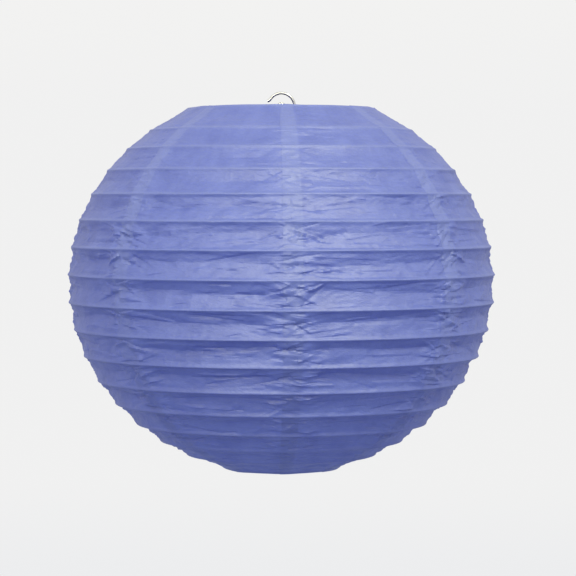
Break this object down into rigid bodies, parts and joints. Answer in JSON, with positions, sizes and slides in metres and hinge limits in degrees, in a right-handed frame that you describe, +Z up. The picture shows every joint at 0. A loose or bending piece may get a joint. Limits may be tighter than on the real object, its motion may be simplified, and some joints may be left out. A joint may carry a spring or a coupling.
{
  "type": "paper lantern",
  "caption": "Round accordion-fold paper lantern on thin wire hoops, open at the top and bottom, held open by a wire expander and hung from a wire hook.",
  "frame": {"origin": "inside of the hook's crown, where the nail or line carries the lantern", "axes": "+Z up along the lantern's axis; X in the plane of the hook's bow and of the expander; Y along the pin that the hook swings on, -Y towards the side that the hook's bow is on"},
  "size_m": [0.3046, 0.3046, 0.2685],
  "materials": {
    "bright_wire": "bright drawn steel wire",
    "dull_wire": "dull drawn steel wire",
    "paper": "thin matt blue paper with long fibres, slightly translucent"
  },
  "bodies": {
    "hook": {"hanging_hook": "bright_wire"},
    "frame": {"expander_frame": "bright_wire", "top_ring": "bright_wire"},
    "section_01": {"hoop_01": "dull_wire", "paper_band_01": "paper"},
    "section_02": {"hoop_02": "dull_wire", "paper_band_02": "paper"},
    "section_03": {"hoop_03": "dull_wire", "paper_band_03": "paper"},
    "section_04": {"hoop_04": "dull_wire", "paper_band_04": "paper"},
    "section_05": {"hoop_05": "dull_wire", "paper_band_05": "paper"},
    "section_06": {"hoop_06": "dull_wire", "paper_band_06": "paper"},
    "section_07": {"hoop_07": "dull_wire", "paper_band_07": "paper"},
    "section_08": {"hoop_08": "dull_wire", "paper_band_08": "paper"},
    "section_09": {"hoop_09": "dull_wire", "paper_band_09": "paper"},
    "section_10": {"hoop_10": "dull_wire", "paper_band_10": "paper"},
    "section_11": {"hoop_11": "dull_wire", "paper_band_11": "paper"},
    "section_12": {"hoop_12": "dull_wire", "paper_band_12": "paper"},
    "section_13": {"hoop_13": "dull_wire", "paper_band_13": "paper"},
    "section_14": {"hoop_14": "dull_wire", "paper_band_14": "paper"},
    "section_15": {"hoop_15": "dull_wire", "paper_band_15": "paper"},
    "section_16": {"bottom_ring": "bright_wire", "paper_band_16": "paper"}
  },
  "joints": [
    {"name": "hook_swing", "type": "hinge", "parent": "hook", "child": "frame", "pos_m": [0, 0, -0.0083], "axis": [0, 1, 0], "range_deg": [-60, 60]},
    {"name": "fold_01", "type": "slide", "parent": "frame", "child": "section_01", "axis": [0, 0, 1], "range_m": [0, 0.01287], "deforming": ["paper_band_01"]},
    {"name": "fold_02", "type": "slide", "parent": "section_01", "child": "section_02", "axis": [0, 0, 1], "range_m": [0, 0.01158], "deforming": ["paper_band_02"]},
    {"name": "fold_03", "type": "slide", "parent": "section_02", "child": "section_03", "axis": [0, 0, 1], "range_m": [0, 0.01355], "deforming": ["paper_band_03"]},
    {"name": "fold_04", "type": "slide", "parent": "section_03", "child": "section_04", "axis": [0, 0, 1], "range_m": [0, 0.0152], "deforming": ["paper_band_04"]},
    {"name": "fold_05", "type": "slide", "parent": "section_04", "child": "section_05", "axis": [0, 0, 1], "range_m": [0, 0.0165], "deforming": ["paper_band_05"]},
    {"name": "fold_06", "type": "slide", "parent": "section_05", "child": "section_06", "axis": [0, 0, 1], "range_m": [0, 0.01743], "deforming": ["paper_band_06"]},
    {"name": "fold_07", "type": "slide", "parent": "section_06", "child": "section_07", "axis": [0, 0, 1], "range_m": [0, 0.01796], "deforming": ["paper_band_07"]},
    {"name": "fold_08", "type": "slide", "parent": "section_07", "child": "section_08", "axis": [0, 0, 1], "range_m": [0, 0.01808], "deforming": ["paper_band_08"]},
    {"name": "fold_09", "type": "slide", "parent": "section_08", "child": "section_09", "axis": [0, 0, 1], "range_m": [0, 0.01779], "deforming": ["paper_band_09"]},
    {"name": "fold_10", "type": "slide", "parent": "section_09", "child": "section_10", "axis": [0, 0, 1], "range_m": [0, 0.0171], "deforming": ["paper_band_10"]},
    {"name": "fold_11", "type": "slide", "parent": "section_10", "child": "section_11", "axis": [0, 0, 1], "range_m": [0, 0.01602], "deforming": ["paper_band_11"]},
    {"name": "fold_12", "type": "slide", "parent": "section_11", "child": "section_12", "axis": [0, 0, 1], "range_m": [0, 0.01458], "deforming": ["paper_band_12"]},
    {"name": "fold_13", "type": "slide", "parent": "section_12", "child": "section_13", "axis": [0, 0, 1], "range_m": [0, 0.01279], "deforming": ["paper_band_13"]},
    {"name": "fold_14", "type": "slide", "parent": "section_13", "child": "section_14", "axis": [0, 0, 1], "range_m": [0, 0.01071], "deforming": ["paper_band_14"]},
    {"name": "fold_15", "type": "slide", "parent": "section_14", "child": "section_15", "axis": [0, 0, 1], "range_m": [0, 0.00837], "deforming": ["paper_band_15"]},
    {"name": "fold_16", "type": "slide", "parent": "section_15", "child": "section_16", "axis": [0, 0, 1], "range_m": [0, 0.00694], "deforming": ["paper_band_16"]}
  ],
  "couplings": [
    {"joint": "fold_02", "follows": "fold_01", "ratio": 0.8996},
    {"joint": "fold_03", "follows": "fold_01", "ratio": 1.0523},
    {"joint": "fold_04", "follows": "fold_01", "ratio": 1.1806},
    {"joint": "fold_05", "follows": "fold_01", "ratio": 1.2817},
    {"joint": "fold_06", "follows": "fold_01", "ratio": 1.3536},
    {"joint": "fold_07", "follows": "fold_01", "ratio": 1.3947},
    {"joint": "fold_08", "follows": "fold_01", "ratio": 1.4042},
    {"joint": "fold_09", "follows": "fold_01", "ratio": 1.3819},
    {"joint": "fold_10", "follows": "fold_01", "ratio": 1.3283},
    {"joint": "fold_11", "follows": "fold_01", "ratio": 1.2444},
    {"joint": "fold_12", "follows": "fold_01", "ratio": 1.1321},
    {"joint": "fold_13", "follows": "fold_01", "ratio": 0.9936},
    {"joint": "fold_14", "follows": "fold_01", "ratio": 0.8319},
    {"joint": "fold_15", "follows": "fold_01", "ratio": 0.6503},
    {"joint": "fold_16", "follows": "fold_01", "ratio": 0.5387}
  ]
}
